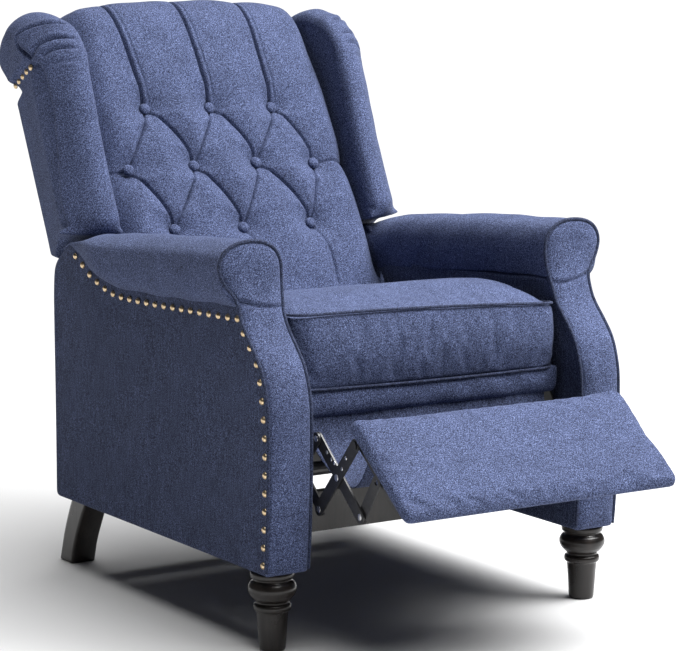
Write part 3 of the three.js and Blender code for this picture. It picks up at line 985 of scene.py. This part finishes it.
BUTTON = [(0.01, 5.8), (3.8, 5.4), (7.2, 4.1), (9.4, 1.9), (10.3, -0.6), (9.4, -2.8), (6.5, -4.0),
          (0.01, -4.0)]


def back_buttons():
    tilt = math.atan2(1, FRONT_RISE)
    outward = np.array([0, -math.cos(tilt), math.sin(tilt)])
    dome = lathe(smooth(BUTTON, 30), 28)
    for index, (x, z) in enumerate(BUTTONS):
        y = np.interp(z, BACK_RISING[:, 1], BACK_RISING[:, 0])
        centre = np.array([x, y, z]) - outward * (BUTTON_SINK - 4)
        add_mesh(f"back_button_{index + 1}", scattered(dome, [(centre, outward)]), CLOTH, "back")


def back_cover():
    """The plain panel behind, edged with piping."""
    low, high = 368, 882
    half = BACK_HALF - 1
    slope = math.hypot(1, BACK_LEAN)
    plan = rounded_rectangle(half, low * slope, high * slope, 14, 300)
    rim = [(4, 7), (0.8, 6), (0, 4), (0.8, 1.6), (4, 0.6)]
    shape = Pillow(plan, [(0, 500 * slope), (0, 760 * slope)], rim, steps=16)
    rings = shape.rings
    puff = 3.0 * crowned(shape.inset, 160) + wobble(rings[..., :2], 260, 0.5, 0.2)
    rings[..., 2] -= (shape.face > 0) * puff

    def to_chair(p):
        z = p[:, 1] / slope
        return np.stack([p[:, 0], rear_face(z) - p[:, 2] / slope, z + p[:, 2] * BACK_LEAN / slope], 1)

    # the rear panel takes the darker copy of the cloth: painted shade
    piece = add_mesh("back_cover_panel", shape.mesh(to_chair), SHADE_DARKENED_CLOTH, "back")
    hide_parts("back_cover")
    edge = np.column_stack([plan, np.full(len(plan), 1.5)])
    # the cord is darkened: painted shade along the piping
    add_mesh("back_cover_piping", tube(to_chair(edge), THIN_PIPING, closed=True), SHADE_DARKENED_CORD, "back")


back_cushion()
back_buttons()
back_cover()


# ---- wings ----
WING_INNER, WING_OUTER = 250.5, 341
WING_SLANT = 48  # how much further back the outer side of the wing lies than its inner side
WING_TAPER = [(530, 26), (800, 19), (850, 14)]  # height, and how much thinner the wing is at its rear
PANEL_STEP = 10  # how far the flat outer panel lies behind the stuffed column and scroll
WING_CORNER = (606, 579)  # the front end of the foot
WING_FRONT = smooth([(634, 575), (606, 580), (592, 589), (588, 606), (596, 628), (628, 695), (656, 763),
                     (681, 830), (709, 888), (753, 930), (806, 945), (860, 946), (908, 932), (940, 906),
                     (950, 878), (944, 862), (930, 847), (914, 834), (900, 819)], 300)
COLUMN_SEAM = np.array([(664, 575), (664, 597), (685, 638), (702, 688), (722, 754), (739, 804),
                        (751, 838), (790, 960)])
SCROLL_LIP = [(768, 866), (790, 864), (821, 850), (855, 834), (884, 821)]
SCROLL_FOLDS = (  # (y, z) on the outer side, and depth
    ([(785, 877), (810, 887), (828, 904), (825, 918), (802, 935), (762, 953), (730, 958)], 13.0),
    ([(778, 880), (781, 894), (773, 911), (750, 928), (705, 941), (643, 947)], 12.0),
    ([(765, 880), (761, 891), (741, 906), (693, 922)], 9.0),
    ([(753, 864), (743, 871), (722, 880)], 6.0),
)
SCROLL_HEART = (783, 871)
WING_NAILS = [(792, 857), (811, 849), (830, 840), (849, 831), (868, 822)]


def slant(y, z, outward):
    """The wing splays back on its outer side, all but its rear face."""
    frontness = np.clip((rear_face(z) - y - 40) / 120, 0, 1)
    return y + WING_SLANT * outward * frontness


def unslanted(points):
    """Points measured on the wing's outer side, moved to where they lie in its outline."""
    y, z = np.asarray(points, float).T
    start = np.linspace(500, 1000, 1001)
    moved = np.array([np.interp(a, slant(start, b, 1.0), start) for a, b in zip(y, z)])
    return np.stack([moved, z], 1)


def wing_place(side):
    """The wing's (u, v, w) as chair millimetres: slanted, and thinner towards its rear edge."""
    def to_chair(p):
        outward = (p[:, 2] - WING_INNER) / (WING_OUTER - WING_INNER)
        y = slant(p[:, 0], p[:, 1], outward)
        seam = np.interp(p[:, 1], COLUMN_SEAM[:, 1], COLUMN_SEAM[:, 0])
        behind = np.clip((y - seam) / (rear_face(p[:, 1]) - seam), 0, 1)
        taper = np.interp(p[:, 1], *np.transpose(WING_TAPER))
        return mirrored(np.stack([p[:, 2] - taper * outward * behind, y, p[:, 1]], 1), side)

    return to_chair


WING_FOOT = [(728, 527), (720, 534), (694, 549), (664, 565)]
WING_REAR = [(rear_face(780), 780), (rear_face(530), 528)]
WING_OUTLINE = soften(resample(np.vstack([WING_FRONT, WING_REAR, WING_FOOT]), 500, closed=True), 2)
WING_SEAM = smooth(unslanted(np.vstack([COLUMN_SEAM[:6], SCROLL_LIP])), 120)
WING_SPINE = [(715, 600), (735, 680), (758, 745), (783, 795), (800, 818)]
WING_RIM = [(34, WING_INNER), (22, WING_INNER + 3), (10, 260), (2, 271), (-2, 284), (0, 297), (8, 310),
            (20, 322), (36, 333), (50, 338.5), (62, WING_OUTER)]


def past_seam(places):
    """How far places lie behind the seam and the lip of the scroll, negative ahead of them."""
    behind = np.vstack([WING_SEAM, [(1000, 820), (1000, 500), (616, 500)]])
    gap = distance_to(WING_SEAM, places)[0]
    return np.where(inside(behind, places), gap, -gap)


def scroll_folds(places, strength):
    """How far the folds of the scroll draw the cover in."""
    depth = np.zeros(strength.shape)
    for line, sink in SCROLL_FOLDS:
        line = smooth(unslanted(line), 40)
        away, nearest = distance_to(line, places)
        fade = ease(np.linalg.norm(nearest - line[-1], axis=-1), 0, 55)
        depth += sink * strength * fade * (bell(away, 3.0) - 0.12 * bell(away - 8, 4))
    return depth


def wing(label, side):
    """A stuffed wing: a round front column that folds back into a scroll over a flat side panel.

    Its rim is fullest along the column, a little tighter over the top and tightest along the foot and the
    rear. The folds draw the cover in towards the spine on the rim and along w on the outer face.
    """
    rim = [tuple(point) for point in smooth(WING_RIM, 38)]
    low_edge = WING_REAR + WING_FOOT + [WING_CORNER]
    down = 1 - ease(distance_to(low_edge, WING_OUTLINE)[0], 5, 30)
    over = ease(WING_OUTLINE[:, 1] + 0.25 * WING_OUTLINE[:, 0], 1030, 1075)
    tightness = (1 - 0.38 * over) * (1 - 0.85 * down)
    shape = Pillow(WING_OUTLINE, WING_SPINE, rim, steps=48, tightness=tightness[:, None])
    rings = shape.rings
    places, w = rings[..., :2], rings[..., 2]
    outside = ease(w, WING_OUTER - 60, WING_OUTER - 30)
    past = past_seam(places)
    w -= outside * (PANEL_STEP * ease(past, -1, 4) - 1.6 * bell(past + 7, 5))
    depth = 3.0 * outside * bell(past - 1, 2.2)
    depth += scroll_folds(places, ease(w, WING_INNER + 10, WING_INNER + 45))
    heart = np.linalg.norm(places - unslanted([SCROLL_HEART])[0], axis=-1)
    depth += outside * 9 * bell(heart, 11)
    foot = np.clip(rings[..., 1] - (WING_CORNER[1] + 10), 0, None)
    gathers = 0.5 + 0.5 * np.sin(rings[..., 0] / 4.6 + w / 7 + foot / 22)
    depth += 1.6 * gathers ** 3 * np.exp(-foot / 12) * (past < 0)
    depth -= wobble(places, 120, 0.7, 3.0 + side) * (past < 0)
    inward = unit(distance_to(WING_SPINE, places)[1] - places)
    flatness = ease(shape.inset, 8, 45)[..., None]
    towards = unit(np.concatenate([inward * (1 - flatness), -flatness], axis=-1))
    rings += towards * (depth * (shape.face >= 0))[..., None]
    piece = add_mesh(f"wing_{label}_cover", shape.mesh(wing_place(side)), CLOTH, "back")
    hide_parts(f"wing_{label}")


def wing_nails(label, side):
    spots = unslanted(WING_NAILS)
    level = np.full((len(spots), 1), WING_OUTER - PANEL_STEP)
    points = wing_place(side)(np.hstack([spots, level]))
    nails(f"wing_nails_{label}", [(point, (side, 0, 0)) for point in points], "back")


for label, side in SIDES.items():
    wing(label, side)
    wing_nails(label, side)


# ---- footrest ----
PAD_TILT = math.radians(38)
PAD_HINGE = (-103.2, 334.3)
PAD_HALF, PAD_REAR, PAD_TOE = 250, -26, 169
PAD_UNDERSIDE = 12.0


def on_pad(s, t):
    """A place on the footrest, s along it from its hinge and t square to it, as (y, z)."""
    y = PAD_HINGE[0] - s * math.cos(PAD_TILT) - t * math.sin(PAD_TILT)
    z = PAD_HINGE[1] - s * math.sin(PAD_TILT) + t * math.cos(PAD_TILT)
    return y, z


def footrest_pad():
    """The flat pad, its cover wrapped round a board, with softly rounded edges."""
    plan = rounded_rectangle(PAD_HALF, PAD_REAR, PAD_TOE, 11, 420)
    rim = [(5, 11.3), (1.5, PAD_UNDERSIDE), (0, 14.6), (-0.6, 19), (0, 24), (2, 28), (6, 31)]
    shape = Pillow(plan, [(-160, 70), (160, 70)], rim, steps=16)
    rings = shape.rings
    rings[..., 2] += (shape.face > 0) * 3.5 * crowned(shape.inset, 60)

    def to_chair(p):
        y, z = on_pad(p[:, 1], p[:, 2])
        return np.stack([p[:, 0], y, z], 1)

    piece = add_mesh("footrest_pad_cover", shape.mesh(to_chair), CLOTH, None)
    edge = np.column_stack([plan, np.full(len(plan), PAD_UNDERSIDE)])
    inflate(piece, [at(to_chair(edge))[::6]], cap=0.003, pressure=2.5, voxel=0.005, shrink=-0.02)
    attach(piece, "footrest")
    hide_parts("footrest_pad")


footrest_pad()

# The sling is three strips sewn edge to edge, so that each crosses one hinge.
SLING = smooth([(58, 360), (57, 340), (47, 312), (26, 295), (-10, 275), (-53, 263), (-75, 264),
                (-96, 282), (-110, 307)], 90)
SLING_SEAMS = (-10, -75)
SLING_HALF = 225
SLING_THICKNESS = 1.4


def sling_strip(name, route):
    """One strip of the sling: a thin doubled cloth that follows its route, rippled across the chair."""
    across = np.linspace(-SLING_HALF, SLING_HALF, 60)
    normals = square_to(np.gradient(route, axis=0))
    ripple = 1.1 * np.sin(across / 31)[:, None] * np.sin(np.linspace(0, math.pi, len(route)))
    size = len(across) * len(route)
    vertices = []
    for face in (-1, 1):
        lifted = route + normals * (SLING_THICKNESS / 2 * face) + normals * ripple[..., None]
        x = across[:, None, None] * np.ones((1, len(route), 1))
        vertices.append(np.concatenate([x, lifted], axis=2).reshape(size, 3))
    faces = ring_faces(len(across), len(route), closed=False)
    faces += ring_faces(len(across), len(route), closed=False, first=size)
    grid = np.arange(size).reshape(len(across), len(route))
    border = np.concatenate([grid[0, :-1], grid[:-1, -1], grid[-1, :0:-1], grid[:0:-1, 0]]).tolist()
    for a, b in zip(border, border[1:] + border[:1]):
        faces.append((a, b, b + size, a + size))
    # the sling takes the darker copy of the cloth: painted shade
    piece = add_mesh(name, (np.vstack(vertices), faces), SHADE_DARKENED_CLOTH, None)
    start, end = at([(0, *route[0]), (0, *route[-1])])
    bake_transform(piece)
    return piece


def sling():
    first, second = (int(np.argmin(np.abs(SLING[:, 0] - y))) for y in SLING_SEAMS)
    rear = sling_strip("footrest_sling_rear", SLING[:first + 1])
    sling_strip("footrest_sling_middle", SLING[first:second + 1])
    sling_strip("footrest_sling_front", SLING[second:])
    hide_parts("footrest_sling")


sling()


# ---- rivets of the linkage ----
RIVET_HEAD = [(0.01, 0.6), (0.55, 0.55), (0.88, 0.30), (1.0, -0.2), (0.01, -0.2)]
SMALL, LARGE = 3.3, 5.6  # radii of the heads
OUTER_LINKS, INNER_LINKS = 244.0, 240.2  # distance of the links' outer faces from the chair's middle
LINK_RIVETS = (  # body, face, radius, and places as (y, z)
    ("front_links", INNER_LINKS, SMALL, [(-21, 310), (-32, 301), (-41, 297)]),
    ("rear_links", OUTER_LINKS, SMALL, [(-79, 311), (-68, 293)]),
    ("rear_links", OUTER_LINKS, LARGE, [PAD_HINGE, (-2.9, 220.1), (-53, 277)]),
    ("upper_links", OUTER_LINKS, LARGE, [(4.3, 327.1)]),
    ("front_links", INNER_LINKS, LARGE, [(-110.4, 227.4)]),
)


def link_rivets():
    for index, (body, face, radius, places) in enumerate(LINK_RIVETS):
        head = lathe([(share * radius, height) for share, height in RIVET_HEAD], 20)
        spots = [((side * face, *place), (side, 0, 0)) for side in SIDES.values() for place in places]
        add_mesh(f"link_rivets_{index + 1}", scattered(head, spots), ZINC, body)


link_rivets()


# ---- carried-over CAD nodes ----
def paint(names, material):
    for name in names:
        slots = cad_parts[name].data.materials
        slots.clear()
        slots.append(material)


STEEL_KINDS = ("link_upper", "link_lower", "link_front", "link_rear", "link_brace", "footrest_bracket",
               "side_plate", "base_rail", "back_bracket")
paint([f"{kind}_{label}" for kind in STEEL_KINDS for label in SIDES] + ["torque_tube"], BLACK_STEEL)
paint(["cross_rail_front", "cross_rail_rear"], BLACK_WOOD)
# the seat rails and the footrest board get the near-black wood: painted shade under the seat
paint(["seat_rail_front", "seat_rail_rear", "seat_rail_left", "seat_rail_right", "footrest_board"],
      SHADE_DARK_FRAME_WOOD)
paint(["back_post_left", "back_post_right", "back_rail_top", "back_rail_bottom"], PLAIN_WOOD)
paint([f"seat_spring_{k}" for k in (1, 2, 3, 4)], SPRING_STEEL)


# ---- studio ----
def floor():
    material, tree, shader, place = new_material("pale_floor")
    tone = noise(tree, place, 2.0)
    fill_in(tree, shader, {
        "Base Color": ramp(tree, tone, [(0.3, (0.66, 0.66, 0.66)), (0.7, (0.68, 0.68, 0.68))]),
        "Roughness": 0.9,
        "Specular IOR Level": 0.1,
    })
    mesh = bpy.data.meshes.new("floor")
    reach = 60
    mesh.from_pydata([(-reach, -reach, 0), (reach, -reach, 0), (reach, reach, 0), (-reach, reach, 0)], [],
                     [(0, 1, 2, 3)])
    mesh.materials.append(material)
    new_object("floor", mesh)


def light(name, kind, power, place, towards):
    """A lamp that shines towards a point. Its data is returned, for the size to be set."""
    data = bpy.data.lights.new(name, kind)
    data.energy = power
    made = new_object(name, data)
    made.location = place
    made.rotation_euler = (Vector(towards) - Vector(place)).to_track_quat("-Z", "Y").to_euler()
    return data


floor()
key = light("key_light", "AREA", 54, (1.0, -0.9, 2.0), (0, 0, 0.6))
key.size = 1.2
sky = light("sky_light", "SUN", 5.3, (0.28, -0.14, 0.95), (0, 0, 0))
sky.angle = math.radians(70)
world = bpy.data.worlds.new("studio")
world.use_nodes = True
background = world.node_tree.nodes["Background"]
background.inputs["Color"].default_value = (1, 1, 1, 1)
background.inputs["Strength"].default_value = 0.05
bpy.context.scene.world = world
bpy.context.scene.view_settings.view_transform = "Standard"
